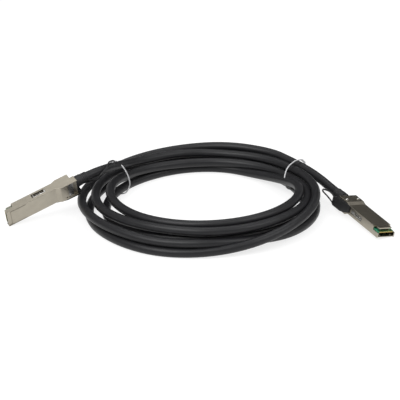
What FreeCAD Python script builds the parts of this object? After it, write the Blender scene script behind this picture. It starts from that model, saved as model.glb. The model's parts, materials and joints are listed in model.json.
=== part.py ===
import FreeCAD, Part
import math
import os
import re
import Sketcher

# A direct attach copper cable: eight twinaxial pairs in one jacket, wound into a tied
# coil, with a quad small form-factor plug on each end. Each plug is two die-cast shells
# riveted round a circuit card, a folded steel latch slider with its two return springs,
# a moulded pull tab with a loop, and a strain relief. Millimetres, +Z up, floor at z = 0.
#
# Plug frame: x runs from the nose to the rear along the cable's axis, y across the plug
# towards the pull tab's side, z up through the lid. The parting plane of the shells is
# z = 0, and so is the cable's axis.

DRIVING_SIZES = [
    # shells
    ("plug_width", 18.35),
    ("plug_height", 8.5),
    ("parting_offset", 0.4),
    ("base_length", 71.5),
    ("lid_nose", 2.8),
    ("lid_rear_step", 4.0),
    ("nose_cut_width", 2.6),
    ("nose_cut_length", 5.5),
    ("plate_wall", 1.2),
    ("side_wall", 0.9),
    ("head_length", 21.0),
    ("ramp_run", 4.0),
    ("lid_rise", 1.5),
    ("belly_drop", 2.4),
    ("edge_break", 0.3),
    ("rail_width", 1.0),
    ("rail_height", 0.6),
    ("lip_length", 3.8),
    ("groove_length", 19.2),
    ("groove_width", 0.55),
    ("groove_depth", 0.45),
    ("guide_rib_height", 0.8),
    ("guide_rib_width", 1.4),
    ("guide_rib_length", 9.0),
    ("guide_rib_spacing", 11.6),
    # circuit card and what it carries
    ("card_width", 16.4),
    ("card_thickness", 1.0),
    ("card_nose", 0.6),
    ("card_length", 33.4),
    ("card_tail_width", 10.4),
    ("card_tail_length", 9.0),
    ("card_corner", 0.8),
    ("card_clearance", 0.1),
    ("ledge_start", 10.0),
    ("ledge_width", 0.4),
    ("pad_count", 19),
    ("pad_pitch", 0.8),
    ("pad_width", 0.6),
    ("pad_length", 3.6),
    ("pad_thickness", 0.06),
    ("chip_length", 4.4),
    ("chip_width", 3.0),
    ("chip_height", 1.1),
    ("chip_place", 13.0),
    ("capacitor_count", 8),
    ("capacitor_pitch", 1.8),
    ("capacitor_place", 8.0),
    ("capacitor_length", 1.0),
    ("capacitor_width", 0.5),
    # cable and its inner ends
    ("cable_diameter", 8.35),
    ("jacket_inset", 13.5),
    ("pair_width", 1.8),
    ("pair_height", 0.95),
    ("pair_pitch", 2.0),
    ("pair_start", 27.0),
    ("pair_drop_start", 35.0),
    ("pair_drop_run", 6.0),
    ("pair_spread", 0.1),
    ("bay_width", 10.0),
    ("bay_inset", 14.1),
    ("fit_clearance", 0.1),
    ("ferrule_inset", 13.9),
    ("ferrule_length", 3.9),
    ("ferrule_wall", 0.5),
    # strain relief
    ("flange_inset", 9.1),
    ("flange_length", 2.2),
    ("flange_diameter", 9.9),
    ("neck_diameter", 9.2),
    ("boot_body_diameter", 10.4),
    ("boot_ring_length", 6.4),
    ("boot_step", 0.5),
    ("boot_tip_diameter", 9.2),
    ("boot_length", 13.0),
    # latch slider, springs and rivets
    ("slide_travel", 3.5),
    ("sheet", 0.4),
    ("slot_skin", 0.42),
    ("slot_clearance", 0.1),
    ("slot_nose", 27.8),
    ("mouth_end", 26.5),
    ("bay_start", 34.5),
    ("arm_height", 3.6),
    ("arm_tip", 29.5),
    ("arm_neck_height", 0.9),
    ("arm_neck_end", 40.8),
    ("latch_hook_start", 34.8),
    ("latch_hook_length", 3.0),
    ("arm_inset", 4.0),
    ("strap_length", 5.0),
    ("window_nose", 28.0),
    ("window_margin", 0.7),
    ("tab_window_extra", 4.4),
    ("recess_length", 9.7),
    ("recess_depth", 1.6),
    ("spring_length", 10.4),
    ("spring_diameter", 2.4),
    ("spring_lift", 0.5),
    ("spring_wire", 0.5),
    ("spring_turns", 6),
    ("rivet_inset", 11.9),
    ("rivet_spacing", 12.6),
    ("rivet_diameter", 2.2),
    ("rivet_head_diameter", 2.9),
    ("rivet_head_height", 0.35),
    ("rivet_sink", 0.9),
    # pull tab
    ("tab_gap", 0.2),
    ("tab_length", 24.4),
    ("tab_leg", 1.5),
    ("tab_top", 4.6),
    ("tab_foot", 6.7),
    ("tab_root_gap", 0.4),
    ("tab_block", 3.1),
    ("tab_inset", 6.6),
    ("arm_grip", 2.0),
    ("loop_cord", 1.4),
    # coil and ties
    ("coil_x", 5.03),
    ("coil_y", 21.35),
    ("coil_inner_radius", 81.0),
    ("coil_outer_radius", 113.6),
    ("coil_height", 25.4),
    ("coil_shoulder", 8.9),
    ("tie_wire", 1.2),
    ("tie_tail", 7.0),
]

doc = FreeCAD.newDocument("direct_attach_cable")
sizes = doc.addObject("Spreadsheet::Sheet", "sizes")
for row, (alias, number) in enumerate(DRIVING_SIZES, start=1):
    sizes.set("A%d" % row, alias)
    sizes.set("B%d" % row, str(number))
    sizes.setAlias("B%d" % row, alias)
doc.recompute()
ALIASES = {alias for alias, number in DRIVING_SIZES}

# Sizes that follow from the driving ones, as formulas of the sheet's words.
HALF_WIDTH = "(plug_width / 2)"
BASE_FLOOR = "(0 - plug_height / 2 - parting_offset)"
LID_ROOF = "(plug_height / 2 - parting_offset)"
BELLY = "(%s - belly_drop)" % BASE_FLOOR
CROWN = "(%s + lid_rise)" % LID_ROOF
LID_REAR = "(base_length - lid_rear_step)"
CARD_REAR = "(card_nose + card_length)"
CARD_STEP = "(card_nose + card_length - card_tail_length)"
SLOT_OUT = "(plug_width / 2 - slot_skin)"
ARM_OUT = "(plug_width / 2 - slot_skin - slot_clearance)"
ARM_IN = "(plug_width / 2 - slot_skin - slot_clearance - sheet)"
SLOT_IN = "(plug_width / 2 - slot_skin - 2 * slot_clearance - sheet)"
SLOT_HALF = "(arm_height / 2 + slot_clearance)"
ROOF_OF_RECESS = "(%s + recess_depth)" % BELLY
STRAP_TOP = "(%s - slot_clearance)" % ROOF_OF_RECESS
SEAT_RADIUS = "(cable_diameter / 2 + 2 * fit_clearance + ferrule_wall)"
TAB_INNER = "(plug_width / 2 + tab_gap)"

HEAD_START = "(base_length - head_length)"
BAY_END = "(base_length - bay_inset)"
FERRULE_START = "(base_length - ferrule_inset)"
FLANGE_START = "(base_length - flange_inset)"
ARM_REAR = "(base_length - arm_inset)"
RECESS_START = "(base_length - recess_length)"
RIVET_PLACE = "(base_length - rivet_inset)"
TAB_ROOT = "(base_length + tab_root_gap)"
TAB_REAR = "(base_length + tab_root_gap + tab_block)"
TAB_FRONT = "(base_length + tab_root_gap - tab_length)"
WINDOW_REAR = "(latch_hook_start + latch_hook_length + slide_travel + window_margin)"
SPRING_START = "(arm_tip + sheet)"
SPRING_END = "(arm_tip + sheet + spring_length)"
SPRING_WALL = "(%s - 2 * slot_clearance - spring_diameter)" % ARM_OUT

# How the two plugs lie: heading, pitch and roll, and the nose's place from the coil's centre.
YAW_PITCH_ROLL = {"a": (28.2, -16.25, -69.6), "b": (118.0, -4.5, 9.25)}
NOSE_FROM_COIL = {"a": (-180.2, -36.0), "b": (162.8, -62.6)}


def size(alias):
    return float(sizes.get(alias))


def formula(text):
    """Point each word of the sheet at its cell."""
    def swap(match):
        word = match.group(0)
        return "sizes." + word if word in ALIASES else word
    return re.sub(r"[a-z_]+", swap, text)


def bind(target, path, text):
    target.setExpression(path, formula(text))


# Points at the coil's frame, moved to the model's frame.
def from_coil(point):
    return FreeCAD.Vector(size("coil_x") + point[0], size("coil_y") + point[1], point[2])


# ---------------------------------------------------------------- bodies and sketches

PLANE_OF = {"x": "YZ_Plane", "y": "XZ_Plane", "z": "XY_Plane"}


def new_body(name):
    body = doc.addObject("PartDesign::Body", name)
    body.Label = name
    return body


def new_sketch(body, axis, offset):
    """A sketch across one of the body's axes, at a distance along the plane's normal."""
    sketch = body.newObject("Sketcher::SketchObject", body.Name + "_sketch")
    plane = [f for f in body.Origin.OriginFeatures if f.Role == PLANE_OF[axis]][0]
    sketch.AttachmentSupport = [(plane, "")]
    sketch.MapMode = "FlatFace"
    bind(sketch, "AttachmentOffset.Base.z", offset)
    sketch.Visibility = False
    return sketch


def pin_point(sketch, element, position, across, along):
    """Hold one point of a sketch at a place given by two formulas."""
    places = (("DistanceX", across, -2), ("DistanceY", along, -1))
    for kind, text, zero_axis in places:
        if text == "0":
            sketch.addConstraint(Sketcher.Constraint("PointOnObject", element, position, zero_axis))
            continue
        number = sketch.addConstraint(Sketcher.Constraint(kind, -1, 1, element, position, 1.0))
        bind(sketch, "Constraints[%d]" % number, text)


def outline(body, axis, points, offset="0"):
    """A closed outline, each corner bound to the sheet."""
    sketch = new_sketch(body, axis, offset)
    count = len(points)
    ring = [2 * math.pi * i / count for i in range(count + 1)]
    corners = [FreeCAD.Vector(10 * math.cos(turn), 10 * math.sin(turn), 0) for turn in ring]
    for i in range(count):
        sketch.addGeometry(Part.LineSegment(corners[i], corners[i + 1]), False)
    for i in range(count):
        sketch.addConstraint(Sketcher.Constraint("Coincident", i, 2, (i + 1) % count, 1))
    for i, (across, along) in enumerate(points):
        pin_point(sketch, i, 1, across, along)
    return sketch


def disc(body, axis, radius, centre=("0", "0"), offset="0"):
    """A circle bound to the sheet."""
    sketch = new_sketch(body, axis, offset)
    sketch.addGeometry(Part.Circle(FreeCAD.Vector(1, 1, 0), FreeCAD.Vector(0, 0, 1), 5.0), False)
    number = sketch.addConstraint(Sketcher.Constraint("Radius", 0, 5.0))
    bind(sketch, "Constraints[%d]" % number, radius)
    pin_point(sketch, 0, 3, centre[0], centre[1])
    return sketch


def extrude(body, kind, sketch, length):
    """Pad or pocket a sketch along its plane's normal."""
    feature = body.newObject("PartDesign::" + kind, body.Name + "_" + kind.lower())
    feature.Profile = sketch
    feature.Reversed = kind == "Pocket"
    bind(feature, "Length", length)
    return feature


def prism(body, kind, axis, points, start, stop):
    """Add or cut the outline between two places along an axis (across y it runs backwards)."""
    offset = "0 - (%s)" % stop if axis == "y" else start
    return extrude(body, kind, outline(body, axis, points, offset), "(%s) - (%s)" % (stop, start))


def cuboid(body, kind, xs, ys, zs):
    corners = [(xs[0], ys[0]), (xs[1], ys[0]), (xs[1], ys[1]), (xs[0], ys[1])]
    return prism(body, kind, "z", corners, zs[0], zs[1])


def cylinder(body, kind, axis, radius, centre, start, stop):
    return extrude(body, kind, disc(body, axis, radius, centre, start), "(%s) - (%s)" % (stop, start))


def minus(text):
    return "0 - (%s)" % text


def on_side(side, inner, outer):
    """A range of y on the tab's side (+1) or the far side (-1)."""
    if side > 0:
        return (inner, outer)
    return (minus(outer), minus(inner))


def centred(width):
    return ("0 - (%s) / 2" % width, "(%s) / 2" % width)


def revolve(body, axis, points, about):
    feature = body.newObject("PartDesign::Revolution", body.Name + "_revolution")
    sketch = outline(body, axis, points)
    feature.Profile = sketch
    feature.ReferenceAxis = (sketch, [about])
    feature.Angle = 360.0
    return feature


def along_x(edge, side):
    """True for a straight edge that runs the length of the plug on one side wall."""
    ends = [vertex.Point for vertex in edge.Vertexes]
    if len(ends) != 2:
        return False
    if abs(abs(ends[0].y) - side) > 0.01 or abs(abs(ends[1].y) - side) > 0.01:
        return False
    return abs(ends[0].x - ends[1].x) > 1.0 and max(abs(ends[0].z), abs(ends[1].z)) > 1.0


def break_edges(body, feature):
    """Round the long outer edges as a die leaves them."""
    doc.recompute()
    side = size("plug_width") / 2
    names = []
    for number, edge in enumerate(feature.Shape.Edges, start=1):
        if along_x(edge, side):
            names.append("Edge%d" % number)
    rounding = body.newObject("PartDesign::Fillet", body.Name + "_edges")
    rounding.Base = (feature, names)
    bind(rounding, "Radius", "edge_break")
    return rounding


# ---------------------------------------------------------------- tubes and wires

def runs_of(points, closed):
    count = len(points)
    last = count if closed else count - 1
    return [(points[(i + 1) % count] - points[i]) for i in range(last)]


def bent_wire(points, closed=False):
    """Straight runs joined by tangent arcs, and the smallest arc radius along them."""
    count = len(points)
    runs = runs_of(points, closed)
    edges = []
    smallest = 1e9
    corners = range(count) if closed else range(1, count - 1)
    joints = []
    for i in corners:
        before = runs[i - 1]
        after = runs[i]
        half_turn = before.getAngle(after) / 2
        reach = 0.45 * min(before.Length, after.Length)
        radius = reach / math.tan(half_turn)
        smallest = min(smallest, radius)
        inward = FreeCAD.Vector(before).normalize()
        outward = FreeCAD.Vector(after).normalize()
        start = points[i] - inward * reach
        stop = points[i] + outward * reach
        bisector = (outward - inward).normalize()
        middle = points[i] + bisector * (radius / math.cos(half_turn) - radius)
        joints.append((start, middle, stop))
    here = joints[-1][2] if closed else points[0]
    for start, middle, stop in joints:
        edges.append(Part.LineSegment(here, start).toShape())
        edges.append(Part.Arc(start, middle, stop).toShape())
        here = stop
    if not closed:
        edges.append(Part.LineSegment(here, points[-1]).toShape())
    return Part.Wire(edges), smallest


def section_at(at, heading, diameter, sides):
    """The cord's outline across its course: round, or flat-sided where it is thin."""
    if sides == 0:
        return Part.Wire(Part.Circle(at, heading, diameter / 2).toShape())
    turn = FreeCAD.Rotation(FreeCAD.Vector(0, 0, 1), heading)
    steps = [2 * math.pi * i / sides for i in range(sides + 1)]
    flat = [FreeCAD.Vector(math.cos(step), math.sin(step), 0) * (diameter / 2) for step in steps]
    return Part.Wire(Part.makePolygon([at + turn.multVec(point) for point in flat]))


def tube(points, diameter, closed=False, sides=0):
    """A tube along a bent wire."""
    wire, smallest = bent_wire(points, closed)
    first = wire.Edges[0]
    at = first.valueAt(first.FirstParameter)
    heading = first.tangentAt(first.FirstParameter)
    ring = section_at(at, heading, diameter, sides)
    shape = wire.makePipeShell([ring], True, False)
    expected = Part.Face(ring).Area * wire.Length
    print("tube", round(diameter, 2), "length", round(wire.Length, 1), "smallest bend",
          round(smallest, 1), "volume over section by length", round(shape.Volume / expected, 4))
    return shape


def coded(name, shape):
    """A sub-part that neither sketches nor primitives can make."""
    node = doc.addObject("Part::Feature", name)
    node.Label = name
    node.Shape = shape
    return node


# ---------------------------------------------------------------- the shells

def cut_slider_ways(body, low, high):
    """Slots, windows and spring pockets for the slider, between two heights."""
    for side in (1, -1):
        cuboid(body, "Pocket", ("slot_nose", "base_length + 1"), on_side(side, SLOT_IN, SLOT_OUT),
               (low, high))
        rear = WINDOW_REAR + " + tab_window_extra" if side > 0 else WINDOW_REAR
        cuboid(body, "Pocket", ("window_nose", rear),
               on_side(side, SLOT_OUT + " - 0.1", HALF_WIDTH + " + 0.5"), (low, high))


def cut_spring_pockets(body, low, high):
    for side in (1, -1):
        cuboid(body, "Pocket", ("slot_nose", SPRING_END), on_side(side, SPRING_WALL, SLOT_IN + " + 0.1"),
               (low, high))


def cut_cable_seats(body, rear):
    """Bores for the ferrule, the strain relief's flange and its neck."""
    flange_front = FLANGE_START + " - fit_clearance"
    flange_rear = FLANGE_START + " + flange_length"
    cylinder(body, "Pocket", "x", SEAT_RADIUS, ("0", "0"), BAY_END + " - 0.5", flange_front)
    cylinder(body, "Pocket", "x", "flange_diameter / 2 + fit_clearance", ("0", "0"),
             flange_front, flange_rear + " + fit_clearance")
    cylinder(body, "Pocket", "x", "neck_diameter / 2 + fit_clearance", ("0", "0"),
             flange_rear, rear + " + 1")


def cut_rivet_holes(body, low, high):
    for side in (1, -1):
        place = "rivet_spacing / 2" if side > 0 else "0 - rivet_spacing / 2"
        cylinder(body, "Pocket", "z", "rivet_diameter / 2 + fit_clearance", (RIVET_PLACE, place), low, high)


def bottom_shell(end):
    body = new_body("bottom_shell_" + end)
    side_view = [("0", "0"), ("0", BASE_FLOOR), (HEAD_START, BASE_FLOOR),
                 (HEAD_START + " + ramp_run", BELLY), ("base_length", BELLY), ("base_length", "0")]
    block = prism(body, "Pad", "y", side_view, minus(HALF_WIDTH), HALF_WIDTH)
    break_edges(body, block)
    floor = BASE_FLOOR + " + plate_wall"
    cuboid(body, "Pocket", ("0 - 1", "ledge_start"), centred("plug_width - 2 * side_wall"), (floor, "1"))
    cuboid(body, "Pocket", ("ledge_start - 0.5", "bay_start"), centred("card_tail_width - 2 * ledge_width"),
           (floor, "1"))
    cuboid(body, "Pocket", ("bay_start - 0.5", BAY_END), centred("bay_width"), (floor, "1"))
    cut_cable_seats(body, "base_length")
    cut_slider_ways(body, minus(SLOT_HALF), "1")
    cut_spring_pockets(body, minus(SLOT_HALF), "1")
    for side in (1, -1):
        cuboid(body, "Pocket", (RECESS_START, "base_length + 1"), on_side(side, SLOT_IN, SLOT_OUT),
               (BELLY + " - 1", "1"))
        cuboid(body, "Pocket", ("0 - 1", "groove_length"),
               on_side(side, HALF_WIDTH + " - rail_width", HALF_WIDTH + " - rail_width + groove_width"),
               (BASE_FLOOR + " - 1", BASE_FLOOR + " + groove_depth"))
    cuboid(body, "Pocket", (RECESS_START, "base_length + 1"), centred("2 * " + SLOT_OUT),
           (BELLY + " - 1", ROOF_OF_RECESS))
    cut_rivet_holes(body, BELLY + " - 1", "1")
    cuboid(body, "Pocket", ("0 - 1", "lip_length"), centred("plug_width - 2 * rail_width"),
           (BASE_FLOOR + " - 1", BASE_FLOOR + " + rail_height"))
    for side in (1, -1):
        cuboid(body, "Pad", ("lip_length / 2", "lip_length / 2 + guide_rib_length"),
               on_side(side, "guide_rib_spacing / 2 - guide_rib_width / 2",
                       "guide_rib_spacing / 2 + guide_rib_width / 2"),
               (floor, floor + " + guide_rib_height"))
    return body


def top_shell(end):
    body = new_body("top_shell_" + end)
    side_view = [("lid_nose", "0"), ("lid_nose", LID_ROOF), (HEAD_START, LID_ROOF),
                 (HEAD_START + " + ramp_run", CROWN), (LID_REAR, CROWN), (LID_REAR, "0")]
    block = prism(body, "Pad", "y", side_view, minus(HALF_WIDTH), HALF_WIDTH)
    break_edges(body, block)
    roof = LID_ROOF + " - plate_wall"
    cuboid(body, "Pocket", ("lid_nose - 1", "mouth_end"), centred("plug_width - 2 * side_wall"),
           ("0 - 1", roof))
    cuboid(body, "Pocket", ("mouth_end - 0.5", "bay_start"), centred("card_tail_width + 2 * card_clearance"),
           ("0 - 1", roof))
    cuboid(body, "Pocket", ("bay_start - 0.5", BAY_END), centred("bay_width"), ("0 - 1", roof))
    cut_cable_seats(body, LID_REAR)
    cut_slider_ways(body, "0 - 1", SLOT_HALF)
    cut_spring_pockets(body, "0 - 1", SLOT_HALF)
    cut_rivet_holes(body, "0 - 1", CROWN + " + 1")
    for side in (1, -1):
        cuboid(body, "Pocket", ("lid_nose - 1", "lid_nose + nose_cut_length"),
               on_side(side, HALF_WIDTH + " - nose_cut_width", HALF_WIDTH + " + 1"),
               ("0 - 1", LID_ROOF + " + 1"))
    return body


# ---------------------------------------------------------------- the circuit card

def circuit_board(end):
    body = new_body("circuit_board_" + end)
    near = [("card_nose", "card_width / 2 - card_corner"),
            ("card_nose + card_corner", "card_width / 2"), (CARD_STEP, "card_width / 2"),
            (CARD_STEP, "card_tail_width / 2"), (CARD_REAR, "card_tail_width / 2")]
    far = [(x, minus(y)) for x, y in reversed(near)]
    prism(body, "Pad", "z", near + far, "0", "card_thickness")
    return body


def box_group(name, boxes):
    """Separate small blocks of one node, each (xs, ys, zs) bound to the sheet."""
    blocks = []
    for number, (xs, ys, zs) in enumerate(boxes, start=1):
        block = doc.addObject("Part::Box", "%s_%d" % (name, number))
        for axis, edge, span in (("x", "Length", xs), ("y", "Width", ys), ("z", "Height", zs)):
            bind(block, "Placement.Base." + axis, span[0])
            bind(block, edge, "(%s) - (%s)" % (span[1], span[0]))
        blocks.append(block)
    group = doc.addObject("Part::Compound", name)
    group.Label = name
    group.Links = blocks
    return group


def around(place, width):
    return ("(%s) - (%s) / 2" % (place, width), "(%s) + (%s) / 2" % (place, width))


def contact_pads(end):
    boxes = []
    xs = ("card_nose + 0.2", "card_nose + 0.2 + pad_length")
    for number in range(int(size("pad_count"))):
        ys = around("(%d - (pad_count - 1) / 2) * pad_pitch" % number, "pad_width")
        boxes.append((xs, ys, ("card_thickness", "card_thickness + pad_thickness")))
        boxes.append((xs, ys, ("0 - pad_thickness", "0")))
    return box_group("contact_pads_" + end, boxes)


def memory_chip(end):
    zs = ("card_thickness", "card_thickness + chip_height")
    package = (around("chip_place", "chip_length"), centred("chip_width"), zs)
    return box_group("memory_chip_" + end, [package])


def capacitors(end):
    boxes = []
    zs = ("card_thickness", "card_thickness + capacitor_width")
    for number in range(int(size("capacitor_count"))):
        place = "(%d - (capacitor_count - 1) / 2) * capacitor_pitch" % number
        boxes.append((around("capacitor_place", "capacitor_length"), around(place, "capacitor_width"), zs))
    return box_group("capacitors_" + end, boxes)


def wire_pairs(end):
    """Eight flattened twin pairs, four soldered on each face of the card."""
    thick = size("pair_height")
    width = size("pair_width")
    drop_start = size("pair_drop_start")
    drop_end = drop_start + size("pair_drop_run")
    solids = []
    for face in (1, -1):
        on_card = size("card_thickness") if face > 0 else 0.0
        in_bunch = face * size("pair_spread")
        under = [(size("pair_start"), on_card), (drop_start, on_card), (drop_end, in_bunch),
                 (size("base_length") - size("jacket_inset"), in_bunch)]
        over = [(x, z + face * thick) for x, z in reversed(under)]
        for number in range(4):
            low = (number - 1.5) * size("pair_pitch") - width / 2
            corners = [FreeCAD.Vector(x, low, z) for x, z in under + over]
            side = Part.Face(Part.makePolygon(corners + corners[:1]))
            ribbon = side.extrude(FreeCAD.Vector(0, width, 0))
            long_edges = [edge for edge in ribbon.Edges
                          if abs(edge.Vertexes[0].Point.y - edge.Vertexes[-1].Point.y) < 1e-6
                          and edge.Length > 1.5 * thick]
            solids.append(ribbon.makeChamfer(0.25 * thick, long_edges))
    return coded("wire_pairs_" + end, Part.makeCompound(solids))


# ---------------------------------------------------------------- cable end and strain relief

def shield_ferrule(end):
    body = new_body("shield_ferrule_" + end)
    outer = "cable_diameter / 2 + fit_clearance + ferrule_wall"
    rear = FERRULE_START + " + ferrule_length"
    cylinder(body, "Pad", "x", outer, ("0", "0"), FERRULE_START, rear)
    cylinder(body, "Pocket", "x", "cable_diameter / 2 + fit_clearance", ("0", "0"), FERRULE_START + " - 1",
             rear + " + 1")
    return body


def strain_relief(end):
    """Flange held in the shells, neck through their rear, ring and tapered boot behind."""
    body = new_body("strain_relief_" + end)
    bore = "cable_diameter / 2 + fit_clearance"
    ring_start = "base_length + 0.4"
    ring_end = ring_start + " + boot_ring_length"
    tip = ring_start + " + boot_length"
    flange_end = FLANGE_START + " + flange_length"
    profile = [(FLANGE_START, bore), (FLANGE_START, "flange_diameter / 2"),
               (flange_end, "flange_diameter / 2"), (flange_end, "neck_diameter / 2"),
               (ring_start, "neck_diameter / 2"), (ring_start, "boot_body_diameter / 2"),
               (ring_end, "boot_body_diameter / 2"), (ring_end, "boot_body_diameter / 2 - boot_step"),
               (tip, "boot_tip_diameter / 2"), (tip, bore)]
    revolve(body, "y", profile, "H_Axis")
    return body


# ---------------------------------------------------------------- latch slider, springs, rivets, tab

def latch_slider(end):
    """Folded sheet: two arms in the side slots, a strap under the head, a tongue to the tab."""
    body = new_body("latch_slider_" + end)
    strap_bottom = STRAP_TOP + " - sheet"
    strap_front = ARM_REAR + " - strap_length"
    cuboid(body, "Pad", (strap_front, ARM_REAR), centred("2 * " + ARM_OUT), (strap_bottom, STRAP_TOP))
    half = "arm_height / 2"
    tongue_end = TAB_ROOT + " + arm_grip"
    for side in (1, -1):
        wall = on_side(side, ARM_IN, ARM_OUT)
        cuboid(body, "Pad", (strap_front, ARM_REAR), wall, (strap_bottom, half))
        rear = tongue_end if side > 0 else ARM_REAR
        cuboid(body, "Pad", ("arm_neck_end", rear), wall, (minus(half), half))
        neck_top = "arm_neck_height - " + half
        cuboid(body, "Pad", ("arm_tip", "arm_neck_end + 1"), wall, (minus(half), neck_top))
        hook = [("latch_hook_start", ARM_IN), ("latch_hook_start + latch_hook_length", ARM_IN),
                ("latch_hook_start + latch_hook_length", ARM_OUT),
                ("latch_hook_start + latch_hook_length / 2", ARM_OUT + " + sheet"),
                ("latch_hook_start", ARM_OUT)]
        if side < 0:
            hook = [(x, minus(y)) for x, y in hook]
        prism(body, "Pad", "z", hook, minus(half), neck_top)
        cuboid(body, "Pad", ("arm_tip", SPRING_START),
               on_side(side, SPRING_WALL + " + 2 * slot_clearance", ARM_OUT), (minus(half), half))
    return body


def return_spring(end, hand):
    """Compression spring behind one of the slider's inward lugs."""
    side = 1 if hand == "left" else -1
    wire = size("spring_wire")
    mean = size("spring_diameter") / 2 - wire / 2
    turns = int(size("spring_turns"))
    free = size("spring_length") - wire - 2 * size("slot_clearance")
    start = size("arm_tip") + size("sheet") + wire / 2 + size("slot_clearance")
    arm_out = size("plug_width") / 2 - size("slot_skin") - size("slot_clearance")
    axis = side * (arm_out - size("spring_diameter") / 2)
    lift = size("spring_lift")
    chords = 9
    rings = []
    for i in range(turns * chords + 1):
        turn = 2 * math.pi * i / chords
        x = start + free * i / (turns * chords)
        corners = []
        for out, ahead in ((-0.5, 0.0), (0.0, 0.5), (0.5, 0.0), (0.0, -0.5)):
            reach = mean + out * wire
            corners.append(FreeCAD.Vector(x + ahead * wire, axis + reach * math.cos(turn),
                                          lift + reach * math.sin(turn)))
        rings.append(Part.makePolygon(corners + corners[:1]))
    return coded("return_spring_%s_%s" % (hand, end), Part.makeLoft(rings, True, True))


def shell_rivets(end):
    """Two solid rivets through both shells, heads on the lid."""
    rivets = []
    for number, side in enumerate((1, -1), start=1):
        pieces = []
        spans = (("rivet_diameter / 2", BELLY + " + rivet_sink", CROWN),
                 ("rivet_head_diameter / 2", CROWN, CROWN + " + rivet_head_height"))
        for part, (radius, low, high) in enumerate(spans, start=1):
            piece = doc.addObject("Part::Cylinder", "rivet_%s_%d_%d" % (end, number, part))
            bind(piece, "Radius", radius)
            bind(piece, "Height", "(%s) - (%s)" % (high, low))
            bind(piece, "Placement.Base.x", RIVET_PLACE)
            bind(piece, "Placement.Base.y", "rivet_spacing / 2 * %d" % side)
            bind(piece, "Placement.Base.z", low)
            pieces.append(piece)
        rivet = doc.addObject("Part::MultiFuse", "rivet_%s_%d" % (end, number))
        rivet.Shapes = pieces
        rivets.append(rivet)
    group = doc.addObject("Part::Compound", "shell_rivets_" + end)
    group.Label = "shell_rivets_" + end
    group.Links = rivets
    return group


def tab_body(end):
    """The moulded part of the tab: a leg along the side wall and a block behind the shells."""
    body = new_body("tab_block_" + end)
    top = "tab_top"
    foot = minus("tab_foot")
    side_view = [(TAB_FRONT, "0 - tab_foot / 3"), (TAB_FRONT + " + 8", foot + " + 1.4"),
                 (TAB_FRONT + " + 13", foot + " + 0.2"), (TAB_REAR + " - 2", foot),
                 (TAB_REAR, foot + " + 1"), (TAB_REAR, "tab_top - 3.4"),
                 (TAB_ROOT + " - 4", "tab_top - 0.4"), (TAB_FRONT + " + 8", top),
                 (TAB_FRONT, "tab_top - 0.6")]
    prism(body, "Pad", "y", side_view, TAB_INNER, TAB_INNER + " + tab_leg")
    cuboid(body, "Pad", (TAB_ROOT, TAB_REAR), ("tab_inset", TAB_INNER + " + 0.5"),
           (foot + " + 1", "tab_top - 3.4"))
    cuboid(body, "Pocket", (TAB_ROOT + " - 1", TAB_ROOT + " + arm_grip"), (ARM_IN, ARM_OUT),
           ("0 - arm_height / 2", "arm_height / 2"))
    return body


# The loop's course from its first root to its second: x behind the block's rear, y and z in the
# plug's frame.
LOOP_COURSE = {
    "a": [(-1.4, 9.9, -5.2), (5.0, 9.4, -3.2), (13.0, 8.6, -2.6), (19.0, 6.4, -4.2), (25.0, 0.8, -4.4),
          (32.0, 0.6, 0.4), (37.0, 3.3, 6.4), (42.0, 4.6, 6.4), (41.6, 6.4, 3.6), (35.0, 2.6, 1.0),
          (28.0, -0.5, -2.8), (22.0, -1.2, -6.6), (17.0, 3.0, -5.9), (11.0, 6.3, -1.6), (5.0, 6.8, 0.4),
          (-1.4, 7.4, -1.0)],
    "b": [(-1.4, 9.9, -5.6), (5.0, 9.5, -4.2), (11.0, 9.8, -2.9), (15.6, 10.1, -2.2), (18.6, 10.1, -1.9),
          (18.8, 10.1, 0.2), (15.6, 8.8, 0.6), (12.0, 7.2, 0.9), (7.0, 7.0, 0.4), (3.0, 7.1, -0.8),
          (-1.4, 7.5, -1.4)],
}


def pull_tab(end):
    """The block and its loop, moulded as one piece."""
    block = tab_body(end)
    doc.recompute()
    rear = size("base_length") + size("tab_root_gap") + size("tab_block")
    course = [FreeCAD.Vector(rear + x, y, z) for x, y, z in LOOP_COURSE[end]]
    loop = tube(course, size("loop_cord"), sides=8)
    return coded("pull_tab_" + end, block.Shape.fuse(loop).removeSplitter())


# ---------------------------------------------------------------- the cable

# Courses of the two leads beyond their plugs, in the coil's frame.
LEAD_COURSE = {
    "a": [(-91.0, 17.7, 34.9), (-83.0, 34.1, 30.5), (-75.0, 50.5, 26.2), (-63.5, 69.0, 22.7),
          (-47.0, 86.0, 21.2), (-25.0, 98.5, 21.0), (0.0, 102.0, 21.0)],
    "b": [(108.0, 38.0, 16.5), (97.0, 55.0, 18.0), (82.0, 71.0, 19.5), (62.0, 86.0, 20.5),
          (38.0, 97.0, 21.0)],
}
STRAIGHT_END = {"a": 91.0, "b": 93.0}


def cable_lead(end, placement):
    """The jacketed cable from inside the plug to where it lies on the coil."""
    start = placement.multVec(FreeCAD.Vector(size("base_length") - size("jacket_inset"), 0, 0))
    corner = placement.multVec(FreeCAD.Vector(STRAIGHT_END[end], 0, 0))
    course = [from_coil(point) for point in LEAD_COURSE[end]]
    return coded("cable_lead_" + end, tube([start, corner] + course, size("cable_diameter"), sides=16))


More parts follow.
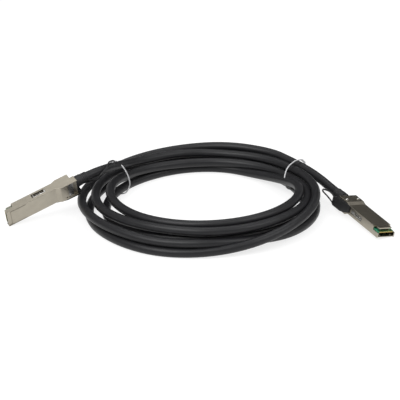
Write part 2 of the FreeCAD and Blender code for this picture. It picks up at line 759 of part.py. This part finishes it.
def cable_coil():
    """The wound bundle's outer shape, one closed ring on the floor."""
    body = new_body("cable_coil")
    inner = "coil_inner_radius"
    outer = "coil_outer_radius"
    half = "cable_diameter / 2"
    profile = [(inner + " + cable_diameter", "0"), (outer + " - " + half, "0"), (outer, half),
               (outer, "cable_diameter"), (outer + " - coil_shoulder", "cable_diameter + coil_shoulder"),
               (outer + " - 1.8 * coil_shoulder", "coil_height - 1"),
               (outer + " - 2.6 * coil_shoulder", "coil_height"), (inner + " + " + half, "coil_height"),
               (inner, "coil_height - " + half), (inner, "cable_diameter")]
    revolve(body, "y", profile, "V_Axis")
    centre = from_coil((0, 0, 0))
    body.Placement = FreeCAD.Placement(centre, FreeCAD.Rotation())
    return body


# Each tie: angle round the coil, and its course in the upright plane there (radius, height).
TIE_COURSE = {
    "left": (152.0, [(78.5, 3.0), (78.5, 20.0), (82.0, 30.0), (93.0, 33.0), (104.0, 29.0), (114.5, 16.0),
                     (114.5, 3.5), (108.0, 0.65), (86.0, 0.65)]),
    "right": (30.0, [(78.5, 3.0), (78.5, 18.0), (83.0, 27.5), (95.0, 27.8), (107.0, 25.5), (114.5, 15.0),
                     (114.5, 3.5), (108.0, 0.65), (86.0, 0.65)]),
}


def tie(hand):
    """A coated wire tie closed round the bundle, its two ends twisted together."""
    angle, course = TIE_COURSE[hand]
    turn = math.radians(angle)
    points = [from_coil((r * math.cos(turn), r * math.sin(turn), z)) for r, z in course]
    loop = tube(points, size("tie_wire"), closed=True, sides=6)
    out = FreeCAD.Vector(math.cos(turn), math.sin(turn), 0.25).normalize()
    knot = points[len(points) // 2] - out * 0.3
    tail_ring = section_at(knot, out, 1.6 * size("tie_wire"), 6)
    tail = Part.Face(tail_ring).extrude(out * size("tie_tail"))
    return coded("tie_" + hand, loop.fuse(tail).removeSplitter())


# ---------------------------------------------------------------- build

SUB_PARTS = (bottom_shell, top_shell, circuit_board, contact_pads, memory_chip, capacitors, wire_pairs,
             shield_ferrule, strain_relief, latch_slider, shell_rivets, pull_tab)


def rest_height(shapes, rotation):
    """How high the plug's origin stands when its lowest corner is on the floor."""
    lowest = 0.0
    for shape in shapes:
        for vertex in shape.Vertexes:
            lowest = min(lowest, rotation.multVec(vertex.Point).z)
    return -lowest


def build_plug(end):
    parts = [make(end) for make in SUB_PARTS]
    parts += [return_spring(end, hand) for hand in ("left", "right")]
    doc.recompute()
    rotation = FreeCAD.Rotation(*YAW_PITCH_ROLL[end])
    base = from_coil(NOSE_FROM_COIL[end] + (0,))
    base.z = rest_height([part.Shape for part in parts], rotation)
    placement = FreeCAD.Placement(base, rotation)
    for part in parts:
        part.Placement = placement
    return parts, placement


def build_all():
    nodes = []
    for end in ("a", "b"):
        parts, placement = build_plug(end)
        nodes += parts
        nodes.append(cable_lead(end, placement))
    nodes.append(cable_coil())
    nodes += [tie(hand) for hand in ("left", "right")]
    return nodes


nodes = build_all()
doc.recompute()
for item in doc.Objects:
    if "Invalid" in item.State or "Error" in item.State:
        raise RuntimeError("%s is in state %s" % (item.Label, item.State))
os.makedirs("parts", exist_ok=True)
for node in nodes:
    shape = node.Shape
    if shape.isNull() or not shape.isValid() or not shape.Solids:
        raise RuntimeError("%s has no sound shape" % node.Label)
    shape.exportStep("parts/%s.step" % node.Label)
    print(node.Label, len(shape.Solids), "solids", round(shape.Volume, 1), "mm3")
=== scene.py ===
import json
import math

import bpy
from mathutils import Euler, Matrix, Vector


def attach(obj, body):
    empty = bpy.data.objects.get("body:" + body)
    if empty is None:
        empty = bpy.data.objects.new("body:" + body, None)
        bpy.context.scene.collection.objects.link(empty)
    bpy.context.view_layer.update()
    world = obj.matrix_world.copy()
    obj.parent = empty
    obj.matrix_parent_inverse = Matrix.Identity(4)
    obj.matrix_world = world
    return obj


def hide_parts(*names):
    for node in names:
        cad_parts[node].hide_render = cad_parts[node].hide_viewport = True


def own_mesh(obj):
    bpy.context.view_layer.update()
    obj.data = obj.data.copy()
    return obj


# A direct attach copper cable: one jacketed twinaxial cable wound into a tied coil, with a
# pluggable connector on each end. Metres, +Z up, floor at z = 0.

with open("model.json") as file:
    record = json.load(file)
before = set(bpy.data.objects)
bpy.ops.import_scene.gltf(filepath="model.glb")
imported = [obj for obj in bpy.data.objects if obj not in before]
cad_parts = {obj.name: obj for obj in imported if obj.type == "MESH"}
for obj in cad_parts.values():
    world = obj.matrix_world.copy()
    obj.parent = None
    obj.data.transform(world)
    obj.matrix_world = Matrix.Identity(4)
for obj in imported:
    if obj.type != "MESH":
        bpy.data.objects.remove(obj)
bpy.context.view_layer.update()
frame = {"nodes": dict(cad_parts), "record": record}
BODY = "cable_and_plugs"

MM = 0.001
CABLE = 8.35 * MM
COIL_CENTRE = Vector((5.03 * MM, 21.35 * MM, 0.0))


# ------------------------------------------------------------------ where the two plugs lie

def plug_matrix(nose, yaw, pitch, roll):
    """The plug's own frame: x from nose to rear, z through the lid."""
    turn = Euler((math.radians(roll), math.radians(pitch), math.radians(yaw)), "XYZ").to_matrix()
    return Matrix.Translation(COIL_CENTRE + Vector(nose) * MM) @ turn.to_4x4()


# The angles are the rounded output of a fitting program, and so are the nose places across the
# floor, with plug a's moved a little. The heights are those that part.py works out.
PLUG = {
    "a": plug_matrix((-180.2, -36.0, 9.712), 28.2, -16.25, -69.6),
    "b": plug_matrix((162.8, -62.6, 5.998), 118.0, -4.5, 9.25),
}


def at_plug(end, x):
    """The point on the plug's long axis at that distance from its nose, in millimetres."""
    return PLUG[end] @ (Vector((x, 0.0, 0.0)) * MM)


def from_coil(x, y, z):
    return COIL_CENTRE + Vector((x, y, z)) * MM


# ------------------------------------------------------------------ the cable's course

# Stations along the winding, clockwise from above: angle, radius and height of the cable's
# middle. They are listed. Each turn has its own place in the bundle, so the turns cross
# here and there, and cut into each other by 1 to 2 mm at about 283 and 68 degrees.
FIRST_TURN = [
    (103, 97.5, 18.4), (90, 97.0, 17.4), (75, 96.8, 17.2), (60, 98.5, 18.4), (45, 98.6, 18.6),
    (25, 100.2, 19.0), (0, 102.6, 20.3), (-30, 103.5, 19.0), (-45, 103.5, 15.5), (-60, 102.5, 11.5),
    (-75, 102.3, 7.8), (-90, 101.0, 4.5), (-105, 105.0, 4.2), (-120, 107.5, 4.2), (-135, 107.3, 4.2),
    (-150, 109.0, 4.2), (-180, 105.5, 4.2), (-210, 104.0, 4.2),
]
SECOND_TURN = [
    (120, 103.5, 4.2), (90, 103.0, 4.2), (60, 99.5, 4.2), (30, 95.8, 4.2), (0, 92.5, 4.2),
    (-30, 88.5, 8.0), (-60, 87.0, 10.5), (-75, 87.0, 13.0), (-90, 88.3, 12.5), (-110, 90.3, 11.2),
    (-135, 92.0, 8.5), (-160, 92.0, 4.5), (-180, 90.5, 4.2), (-200, 89.0, 4.2), (-225, 88.0, 4.2),
]
THIRD_TURN = [
    (108, 90.5, 4.2), (90, 94.0, 4.2), (62, 89.0, 5.0), (45, 83.5, 7.5), (25, 83.5, 15.0), (0, 88.0, 22.8),
    (-30, 86.5, 24.0), (-60, 84.0, 24.0), (-90, 83.3, 23.3), (-110, 84.0, 22.6), (-135, 85.8, 21.8),
    (-180, 87.0, 21.0), (-210, 86.5, 16.5), (-240, 86.5, 12.6),
]
FOURTH_TURN = [
    (90, 87.3, 11.6), (74, 90.0, 12.0), (62, 92.5, 12.8), (45, 91.4, 11.8), (25, 92.8, 14.0), (0, 95.0, 16.5),
    (-30, 94.5, 20.0), (-45, 93.2, 21.0), (-60, 93.2, 21.2), (-90, 93.2, 21.0), (-120, 93.5, 20.7),
    (-140, 97.0, 19.3), (-155, 99.8, 18.0), (-180, 100.5, 17.5), (-220, 100.8, 14.3), (-245, 102.3, 12.5),
]
FIFTH_TURN = [
    (90, 103.8, 12.6), (75, 104.5, 12.2), (60, 105.5, 11.0), (30, 104.5, 7.0), (0, 103.0, 4.4),
    (-15, 102.5, 5.5), (-30, 101.0, 7.5), (-45, 100.0, 6.8), (-60, 95.3, 6.5), (-70, 93.6, 12.8),
    (-80, 96.0, 14.2), (-90, 99.4, 12.8),
    (-104, 101.0, 11.5), (-118, 103.0, 11.2), (-126, 103.9, 11.4), (-135, 105.8, 12.5), (-145, 108.0, 13.6),
    (-155, 110.5, 14.6), (-165, 112.8, 13.2), (-180, 113.8, 11.0), (-210, 112.0, 12.0), (-230, 110.5, 14.5),
    (-245, 109.5, 16.5), (-257, 109.2, 17.8),
]
LAST_STRETCH = [(92, 109.2, 19.2), (81, 109.3, 20.7), (65, 109.5, 21.2), (50, 109.5, 20.9)]

# Where the cable runs straight in each plug, from the nose.
STRAIGHT_IN_A = (58, 73.5, 91)
STRAIGHT_IN_B = (93, 75, 58)
WINDING_STEP = 24.0

LEAD_A_COURSE = [(-91.0, 17.7, 34.9), (-83.0, 34.1, 30.5), (-75.0, 50.5, 25.8), (-63.5, 69.0, 20.8)]
LEAD_B_COURSE = [(82.5, 72.0, 19.6), (97.0, 55.0, 18.0), (108.0, 38.0, 16.5)]


def winding_stations():
    """The turns one after another, with the angle running on past full circles."""
    stations = []
    turns = (FIRST_TURN, SECOND_TURN, THIRD_TURN, FOURTH_TURN, FIFTH_TURN, LAST_STRETCH)
    for number, turn in enumerate(turns):
        for angle, radius, height in turn:
            stations.append((360 * number - angle, radius, height))
    return stations


def between(stations, wound, column):
    """A smooth value between stations, by slopes taken across each one's neighbours."""
    last = len(stations) - 1
    i = max(k for k in range(last) if stations[k][0] <= wound or k == 0)
    before, here = stations[max(i - 1, 0)], stations[i]
    after, beyond = stations[i + 1], stations[min(i + 2, last)]
    span = after[0] - here[0]
    slope_in = (after[column] - before[column]) / (after[0] - before[0])
    slope_out = (beyond[column] - here[column]) / (beyond[0] - here[0])
    t = (wound - here[0]) / span
    return ((1 + 2 * t) * (1 - t) ** 2 * here[column] + t * (1 - t) ** 2 * span * slope_in
            + t * t * (3 - 2 * t) * after[column] + t * t * (t - 1) * span * slope_out)


def cable_course():
    """Control points from inside one plug, through five and a quarter turns, into the other."""
    points = [at_plug("a", x) for x in STRAIGHT_IN_A]
    points += [from_coil(*point) for point in LEAD_A_COURSE]
    stations = winding_stations()
    stand_out = 1 / math.cos(math.radians(WINDING_STEP / 2))
    count = int((stations[-1][0] - stations[0][0]) // WINDING_STEP)
    for k in range(count + 1):
        wound = stations[0][0] + WINDING_STEP * k
        radius = between(stations, wound, 1) * stand_out
        height = between(stations, wound, 2)
        turn = math.radians(-wound)
        points.append(from_coil(radius * math.cos(turn), radius * math.sin(turn), height))
    points += [from_coil(*point) for point in LEAD_B_COURSE]
    points += [at_plug("b", x) for x in STRAIGHT_IN_B]
    return points


SPLINE_RESOLUTION = 6


def curve_piece(name, points, thickness):
    """A round cord along one open spline through its control points."""
    data = bpy.data.curves.new(name, "CURVE")
    data.dimensions = "3D"
    data.bevel_depth = thickness / 2
    data.bevel_resolution = 5
    data.use_fill_caps = True
    spline = data.splines.new("NURBS")
    spline.points.add(len(points) - 1)
    for control, point in zip(spline.points, points):
        control.co = (*point, 1.0)
    spline.order_u = 3
    spline.use_endpoint_u = True
    spline.resolution_u = SPLINE_RESOLUTION
    data.resolution_u = SPLINE_RESOLUTION
    piece = bpy.data.objects.new(name, data)
    bpy.context.scene.collection.objects.link(piece)
    return piece


# ------------------------------------------------------------------ materials

def new_group(name, inputs, outputs):
    """A shader node group with named number inputs and outputs of given kinds."""
    group = bpy.data.node_groups.new(name, "ShaderNodeTree")
    for label, default in inputs:
        kind = "NodeSocketColor" if isinstance(default, tuple) else "NodeSocketFloat"
        socket = group.interface.new_socket(name=label, in_out="INPUT", socket_type=kind)
        socket.default_value = default
    for label, kind in outputs:
        group.interface.new_socket(name=label, in_out="OUTPUT", socket_type=kind)
    return group, group.nodes.new("NodeGroupInput"), group.nodes.new("NodeGroupOutput")


def noise(nodes, links, coordinate, scale, detail, rough):
    node = nodes.new("ShaderNodeTexNoise")
    node.inputs["Detail"].default_value = detail
    node.inputs["Roughness"].default_value = rough
    links.new(scale, node.inputs["Scale"])
    links.new(coordinate, node.inputs["Vector"])
    return node


BLOTCH_LOW = 0.35
BLOTCH_HIGH = 0.68
GRAIN_DEPTH = 0.0001


def surface_group():
    """Fine grain, soft blotches and their bump, for every cast, moulded and drawn surface."""
    group, ins, outs = new_group(
        "cast_and_moulded_surface",
        [("Colour", (0.5, 0.5, 0.5, 1.0)), ("Blotch Colour", (0.4, 0.4, 0.4, 1.0)), ("Grain Scale", 2500.0),
         ("Blotch Scale", 160.0), ("Blotch Amount", 0.5), ("Roughness", 0.4), ("Roughness Spread", 0.12),
         ("Grain Bump", 0.15)],
        [("Colour", "NodeSocketColor"), ("Roughness", "NodeSocketFloat"), ("Normal", "NodeSocketVector")])
    nodes, links = group.nodes, group.links
    place = nodes.new("ShaderNodeTexCoord")
    grain = noise(nodes, links, place.outputs["Object"], ins.outputs["Grain Scale"], 2.0, 0.55)
    blotch = noise(nodes, links, place.outputs["Object"], ins.outputs["Blotch Scale"], 5.0, 0.6)
    spread = nodes.new("ShaderNodeMapRange")
    spread.inputs["From Min"].default_value = BLOTCH_LOW
    spread.inputs["From Max"].default_value = BLOTCH_HIGH
    links.new(blotch.outputs["Fac"], spread.inputs["Value"])
    amount = nodes.new("ShaderNodeMath")
    amount.operation = "MULTIPLY"
    links.new(spread.outputs["Result"], amount.inputs[0])
    links.new(ins.outputs["Blotch Amount"], amount.inputs[1])
    mix = nodes.new("ShaderNodeMix")
    mix.data_type = "RGBA"
    links.new(amount.outputs[0], mix.inputs["Factor"])
    links.new(ins.outputs["Colour"], mix.inputs["A"])
    links.new(ins.outputs["Blotch Colour"], mix.inputs["B"])
    links.new(mix.outputs["Result"], outs.inputs["Colour"])
    rough = nodes.new("ShaderNodeMath")
    rough.operation = "MULTIPLY_ADD"
    links.new(grain.outputs["Fac"], rough.inputs[0])
    links.new(ins.outputs["Roughness Spread"], rough.inputs[1])
    links.new(ins.outputs["Roughness"], rough.inputs[2])
    links.new(rough.outputs[0], outs.inputs["Roughness"])
    bump = nodes.new("ShaderNodeBump")
    bump.inputs["Distance"].default_value = GRAIN_DEPTH
    links.new(ins.outputs["Grain Bump"], bump.inputs["Strength"])
    links.new(grain.outputs["Fac"], bump.inputs["Height"])
    links.new(bump.outputs["Normal"], outs.inputs["Normal"])
    return group


SURFACE = surface_group()


def material(name, colour, blotch, rough, metallic=0.0, grain=2500.0, blotch_scale=160.0, blotch_amount=0.5,
             rough_spread=0.12, grain_bump=0.15, coat=0.0, specular=0.5):
    """A principled finish over the shared surface group."""
    made = bpy.data.materials.new(name)
    made.use_nodes = True
    nodes, links = made.node_tree.nodes, made.node_tree.links
    shader = nodes["Principled BSDF"]
    surface = nodes.new("ShaderNodeGroup")
    surface.node_tree = SURFACE
    surface.inputs["Colour"].default_value = (*colour, 1.0)
    surface.inputs["Blotch Colour"].default_value = (*blotch, 1.0)
    surface.inputs["Grain Scale"].default_value = grain
    surface.inputs["Blotch Scale"].default_value = blotch_scale
    surface.inputs["Blotch Amount"].default_value = blotch_amount
    surface.inputs["Roughness"].default_value = rough
    surface.inputs["Roughness Spread"].default_value = rough_spread
    surface.inputs["Grain Bump"].default_value = grain_bump
    links.new(surface.outputs["Colour"], shader.inputs["Base Color"])
    links.new(surface.outputs["Roughness"], shader.inputs["Roughness"])
    links.new(surface.outputs["Normal"], shader.inputs["Normal"])
    shader.inputs["Metallic"].default_value = metallic
    shader.inputs["Coat Weight"].default_value = coat
    shader.inputs["Specular IOR Level"].default_value = specular
    return made


MATERIALS = {
    "cable_jacket": material("cable_jacket", (0.010, 0.010, 0.0115), (0.016, 0.016, 0.018), 0.38,
                             grain=1800.0, blotch_scale=90.0, blotch_amount=0.6, grain_bump=0.10,
                             specular=0.36),
    "die_cast_shell": material("die_cast_shell", (0.40, 0.368, 0.305), (0.32, 0.293, 0.24), 0.27,
                               metallic=1.0, grain=1600.0, blotch_scale=140.0, rough_spread=0.16,
                               grain_bump=0.22),
    "spring_steel": material("spring_steel", (0.60, 0.59, 0.57), (0.50, 0.50, 0.49), 0.22, metallic=1.0,
                             grain=3000.0, blotch_scale=220.0, grain_bump=0.10),
    "rivet_metal": material("rivet_metal", (0.80, 0.79, 0.77), (0.68, 0.67, 0.65), 0.16, metallic=1.0,
                            grain=3000.0, blotch_scale=400.0, grain_bump=0.08),
    "crimp_metal": material("crimp_metal", (0.66, 0.55, 0.36), (0.56, 0.46, 0.30), 0.30, metallic=1.0),
    "gold_plating": material("gold_plating", (0.86, 0.66, 0.27), (0.74, 0.55, 0.22), 0.20, metallic=1.0,
                             blotch_scale=900.0, grain_bump=0.05),
    "board_laminate": material("board_laminate", (0.022, 0.22, 0.115), (0.040, 0.31, 0.17), 0.28,
                               grain=2200.0, blotch_scale=700.0, blotch_amount=0.8, coat=0.3),
    "laminate_edge": material("laminate_edge", (0.60, 0.43, 0.12), (0.38, 0.26, 0.07), 0.35, grain=2600.0,
                              blotch_scale=1500.0, blotch_amount=0.8),
    "chip_black": material("chip_black", (0.022, 0.022, 0.024), (0.034, 0.034, 0.036), 0.42,
                           blotch_scale=600.0),
    "wire_insulation": material("wire_insulation", (0.50, 0.52, 0.56), (0.40, 0.42, 0.46), 0.30, metallic=0.7,
                                blotch_scale=500.0),
    "boot_rubber": material("boot_rubber", (0.011, 0.011, 0.012), (0.017, 0.017, 0.018), 0.48, grain=2200.0,
                            grain_bump=0.2),
    "tab_plastic": material("tab_plastic", (0.009, 0.009, 0.010), (0.014, 0.014, 0.015), 0.45, grain=2600.0,
                            grain_bump=0.25),
    "tie_coating": material("tie_coating", (0.60, 0.60, 0.61), (0.74, 0.74, 0.75), 0.34, blotch_scale=300.0),
}


def dress_nodes():
    """Each carried-over node takes the material of its slot."""
    for part in frame["record"]["subparts"]:
        node = frame["nodes"][part["node"]]
        node.data.materials.clear()
        node.data.materials.append(MATERIALS[part["material_slot"]])


# ------------------------------------------------------------------ camera, light and floor

# The scale is the image's units for each metre at the coil.
CAMERA_ELEVATION = math.radians(24.0)
CAMERA_DISTANCE = 1.8
SENSOR_WIDTH = 36.0
IMAGE_SIDE = 400.0
IMAGE_SCALE = 1080.0
SHIFT = (-0.01125, 0.02625)
LAMPS = (
    ("key_light", (-0.7, -0.9, 1.5), 1.2, 24.0),
    ("fill_light", (1.1, -0.5, 1.1), 1.0, 8.0),
    ("back_light", (0.1, 0.9, 1.7), 1.2, 8.0),
)
LAMPS_AIM = Vector((0.0, 0.02, 0.0))
AIR_STRENGTH = 0.36
FLOOR_GREY = 0.30
FLOOR_GLOW = 0.78
FLOOR_SIZE = 30.0
FLAG_GREY = 0.02
FLAG_SIZE = 2.6
FLAG_PLACE = (0.3, 2.0, 1.45)


def studio():
    """The camera, three soft lamps, plain air, a pale floor and a dark flag behind."""
    toward = Vector((0.0, -math.cos(CAMERA_ELEVATION), math.sin(CAMERA_ELEVATION)))
    data = bpy.data.cameras.new("camera")
    data.sensor_width = SENSOR_WIDTH
    data.lens = SENSOR_WIDTH * IMAGE_SCALE * CAMERA_DISTANCE / IMAGE_SIDE
    data.shift_x, data.shift_y = SHIFT
    data.clip_end = 20.0
    camera = bpy.data.objects.new("camera", data)
    camera.location = COIL_CENTRE + toward * CAMERA_DISTANCE
    camera.rotation_euler = (math.pi / 2 - CAMERA_ELEVATION, 0.0, 0.0)
    bpy.context.scene.collection.objects.link(camera)
    bpy.context.scene.camera = camera

    for name, place, size, power in LAMPS:
        lamp = bpy.data.lights.new(name, "AREA")
        lamp.size = size
        lamp.energy = power
        item = bpy.data.objects.new(name, lamp)
        item.location = place
        item.rotation_euler = (LAMPS_AIM - Vector(place)).to_track_quat("-Z", "Y").to_euler()
        bpy.context.scene.collection.objects.link(item)

    world = bpy.data.worlds.new("studio_air")
    world.use_nodes = True
    nodes = world.node_tree.nodes
    nodes["Background"].inputs["Color"].default_value = (1.0, 1.0, 1.0, 1.0)
    nodes["Background"].inputs["Strength"].default_value = AIR_STRENGTH
    bpy.context.scene.world = world

    paint, nodes, links, shader = plain_paint("studio_floor", FLOOR_GREY)
    glow = nodes.new("ShaderNodeEmission")
    links.new(looked_at(nodes, links), glow.inputs["Strength"])
    glow.inputs["Color"].default_value = (FLOOR_GLOW, FLOOR_GLOW, FLOOR_GLOW, 1.0)
    both = nodes.new("ShaderNodeAddShader")
    links.new(shader.outputs[0], both.inputs[0])
    links.new(glow.outputs[0], both.inputs[1])
    links.new(both.outputs[0], nodes["Material Output"].inputs["Surface"])
    stage_card("studio_floor", FLOOR_SIZE, (0, 0, 0), (0, 0, 0), paint)
    flag = plain_paint("studio_flag", FLAG_GREY)[0]
    stage_card("studio_flag", FLAG_SIZE, FLAG_PLACE, (math.pi / 2, 0, 0), flag)


def looked_at(nodes, links):
    """One for rays that show the background: seen directly, in metal or through glass."""
    path = nodes.new("ShaderNodeLightPath")
    total = path.outputs["Is Camera Ray"]
    for kind in ("Is Glossy Ray", "Is Transmission Ray"):
        more = nodes.new("ShaderNodeMath")
        more.operation = "MAXIMUM"
        links.new(total, more.inputs[0])
        links.new(path.outputs[kind], more.inputs[1])
        total = more.outputs[0]
    return total


def plain_paint(name, grey):
    """A dull grey paint, with its nodes, links and shader."""
    paint = bpy.data.materials.new(name)
    paint.use_nodes = True
    nodes, links = paint.node_tree.nodes, paint.node_tree.links
    shader = nodes["Principled BSDF"]
    shader.inputs["Base Color"].default_value = (grey, grey, grey, 1.0)
    shader.inputs["Roughness"].default_value = 0.9
    shader.inputs["Specular IOR Level"].default_value = 0.0
    return paint, nodes, links, shader


def stage_card(name, size, place, turn, paint):
    """A flat square of the studio, which isn't part of the object."""
    bpy.ops.object.select_all(action="DESELECT")
    bpy.ops.mesh.primitive_plane_add(size=size, location=place, rotation=turn)
    card = bpy.context.active_object
    card.name = name
    card.data.materials.append(paint)


# ------------------------------------------------------------------ pieces on the plugs and ties

def across_plug(end, x):
    """A turn and place that stand a flat ring across the plug's length at that distance."""
    place = Matrix.Translation(Vector((x, 0.0, 0.0)) * MM)
    return PLUG[end] @ place @ Matrix.Rotation(math.pi / 2, 4, "Y")


def settle(piece, place):
    """Puts a piece made at the origin in its place, with the place in its mesh."""
    piece.data.transform(place)
    piece.data.update()
    return piece


def ring_mesh(name, places, major, minor):
    """Rounded rings of one size, each settled at its own place, as one piece."""
    rings = []
    for place in places:
        bpy.ops.object.select_all(action="DESELECT")
        bpy.ops.mesh.primitive_torus_add(major_radius=major * MM, minor_radius=minor * MM,
                                         major_segments=48, minor_segments=10)
        rings.append(settle(bpy.context.active_object, place))
    bpy.ops.object.select_all(action="DESELECT")
    for ring in rings:
        ring.select_set(True)
    bpy.context.view_layer.objects.active = rings[0]
    bpy.ops.object.join()
    joined = bpy.context.active_object
    joined.name = name
    joined.data.name = name
    bpy.ops.object.shade_smooth()
    return joined


def dressed(piece, slot):
    """Gives a piece the material of its slot, and its body."""
    piece.data.materials.clear()
    piece.data.materials.append(MATERIALS[slot])
    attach(piece, BODY)
    return piece


EDGE_SIZE = (0.34, 14.6, 0.86)
EDGE_ROUNDING = 0.12
EDGE_PLACE = (0.50, 0.0, 0.5)


def card_edge(end):
    """The bare laminate along the card's nose, between the gold contacts of its two faces."""
    bpy.ops.object.select_all(action="DESELECT")
    bpy.ops.mesh.primitive_cube_add(size=1.0)
    strip = bpy.context.active_object
    strip.name = "card_edge_" + end
    strip.data.name = strip.name
    strip.data.transform(Matrix.Diagonal((*(side * MM for side in EDGE_SIZE), 1.0)))
    rounding = strip.modifiers.new("rounding", "BEVEL")
    rounding.width = EDGE_ROUNDING * MM
    rounding.segments = 2
    bpy.ops.object.modifier_apply(modifier="rounding")
    settle(strip, PLUG[end] @ Matrix.Translation(Vector(EDGE_PLACE) * MM))
    strip.data.materials.append(MATERIALS["laminate_edge"])
    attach(strip, BODY)


def live_spring(end, hand):
    """A smoothed copy of the slider's return spring in place of its node, held at one length (the real one
    shortens against its rear wall as the tab draws back).
    """
    node = frame["nodes"]["return_spring_%s_%s" % (hand, end)]
    coil = bpy.data.objects.new("spring_coil_%s_%s" % (hand, end), node.data.copy())
    bpy.context.scene.collection.objects.link(coil)
    bpy.ops.object.select_all(action="DESELECT")
    coil.select_set(True)
    bpy.context.view_layer.objects.active = coil
    bpy.ops.object.mode_set(mode="EDIT")
    bpy.ops.mesh.select_all(action="SELECT")
    bpy.ops.mesh.remove_doubles(threshold=0.002 * MM)
    bpy.ops.object.mode_set(mode="OBJECT")
    bpy.ops.object.shade_smooth_by_angle(angle=math.radians(50))
    dressed(coil, "spring_steel")
    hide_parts(node.name)
    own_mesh(coil)


TIE_WIRE = 1.15 * MM
TIE_LEFT = [
    (-99.0, 52.5, 20.5), (-90.5, 47.0, 27.5), (-84.0, 38.6, 35.0), (-78.5, 36.6, 31.2), (-73.5, 34.0, 25.4),
    (-70.0, 32.2, 16.5), (-70.3, 32.2, 9.0), (-75.0, 31.6, 2.4), (-86.0, 40.0, 0.6), (-98.0, 49.5, 0.6),
    (-106.0, 56.0, 4.0), (-107.0, 57.0, 12.0), (-102.0, 54.2, 18.0), (-98.0, 51.8, 21.2),
]
TIE_LEFT_TAIL = [(-99.0, 53.6, 20.0), (-100.4, 56.6, 18.5), (-101.8, 60.0, 15.0), (-102.2, 61.6, 12.0)]
TIE_RIGHT = [
    (91.5, 62.5, 24.9), (88.0, 59.5, 26.2), (84.0, 53.0, 26.6), (79.5, 45.0, 26.2), (76.3, 38.5, 23.6),
    (74.7, 32.6, 17.5), (75.8, 32.6, 10.5), (79.5, 39.5, 4.0), (87.0, 50.0, 0.6), (93.0, 59.0, 0.6),
    (97.0, 66.0, 5.0), (98.2, 68.2, 13.0), (95.5, 66.0, 21.0), (91.2, 62.2, 25.6),
]
TIE_RIGHT_TAIL = [(90.4, 61.6, 25.6), (92.4, 62.4, 25.4), (94.4, 62.0, 24.2), (95.6, 61.2, 22.6)]


STRAND_RADIUS = 0.42 * MM
STRAND_OFFSET = 0.40 * MM
STRAND_TWIST = 1.1
NOT_ALONG_TAIL = Vector((0.3, 0.2, 1.0))


def twisted_tail(name, points):
    """The two wire ends wound round each other, along the tail's own line."""
    guide = curve_piece(name + "_line", [from_coil(*point) for point in points], 0.0)
    line = bpy.data.meshes.new_from_object(guide)
    course = [vertex.co.copy() for vertex in line.vertices]
    bpy.data.objects.remove(guide)
    bpy.data.meshes.remove(line)
    strands = bpy.data.curves.new(name, "CURVE")
    strands.dimensions = "3D"
    strands.bevel_depth = STRAND_RADIUS
    strands.bevel_resolution = 3
    strands.use_fill_caps = True
    for side in (0.0, math.pi):
        spline = strands.splines.new("POLY")
        spline.points.add(len(course) - 1)
        for k, control in enumerate(spline.points):
            ahead = course[min(k + 1, len(course) - 1)] - course[max(k - 1, 0)]
            across = ahead.cross(NOT_ALONG_TAIL).normalized()
            over = across.cross(ahead).normalized()
            turn = side + STRAND_TWIST * k
            off = (across * math.cos(turn) + over * math.sin(turn)) * STRAND_OFFSET
            control.co = (*(course[k] + off), 1.0)
    tail = bpy.data.objects.new(name, strands)
    bpy.context.scene.collection.objects.link(tail)
    return tail


# ------------------------------------------------------------------ build

BOOT_RINGS = 4
BOOT_RING_START = 79.3
BOOT_RING_SPACING = 1.5
BOOT_RING_RADIUS = 4.55
BOOT_RING_HALF_THICKNESS = 0.42
RIVET_PLACE = 59.6
RIVET_TOP = 5.62
RIVET_FROM_MIDDLE = 6.3
RIVET_RIM_RADIUS = 1.12
RIVET_RIM_HALF_THICKNESS = 0.26

studio()
dress_nodes()

cable = curve_piece("cable", cable_course(), CABLE)
dressed(cable, "cable_jacket")
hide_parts("cable_coil", "cable_lead_a", "cable_lead_b")

on_cable = []
for side, loop, tail in (("left", TIE_LEFT, TIE_LEFT_TAIL), ("right", TIE_RIGHT, TIE_RIGHT_TAIL)):
    course = [from_coil(*point) for point in loop]
    wire = dressed(curve_piece("tie_wire_" + side, course, TIE_WIRE), "tie_coating")
    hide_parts("tie_" + side)
    on_cable += [wire, dressed(twisted_tail("tie_tail_" + side, tail), "tie_coating")]

for end in ("a", "b"):
    places = [across_plug(end, BOOT_RING_START + BOOT_RING_SPACING * k) for k in range(BOOT_RINGS)]
    rings = ring_mesh("boot_rings_" + end, places, BOOT_RING_RADIUS, BOOT_RING_HALF_THICKNESS)
    on_cable.append(dressed(rings, "boot_rubber"))
    places = [PLUG[end] @ Matrix.Translation(Vector((RIVET_PLACE, y, RIVET_TOP)) * MM)
              for y in (-RIVET_FROM_MIDDLE, RIVET_FROM_MIDDLE)]
    cups = ring_mesh("rivet_cups_" + end, places, RIVET_RIM_RADIUS, RIVET_RIM_HALF_THICKNESS)
    dressed(cups, "rivet_metal")
    card_edge(end)
    for hand in ("left", "right"):
        live_spring(end, hand)

bpy.context.scene.view_settings.view_transform = "Standard"
bpy.context.view_layer.update()
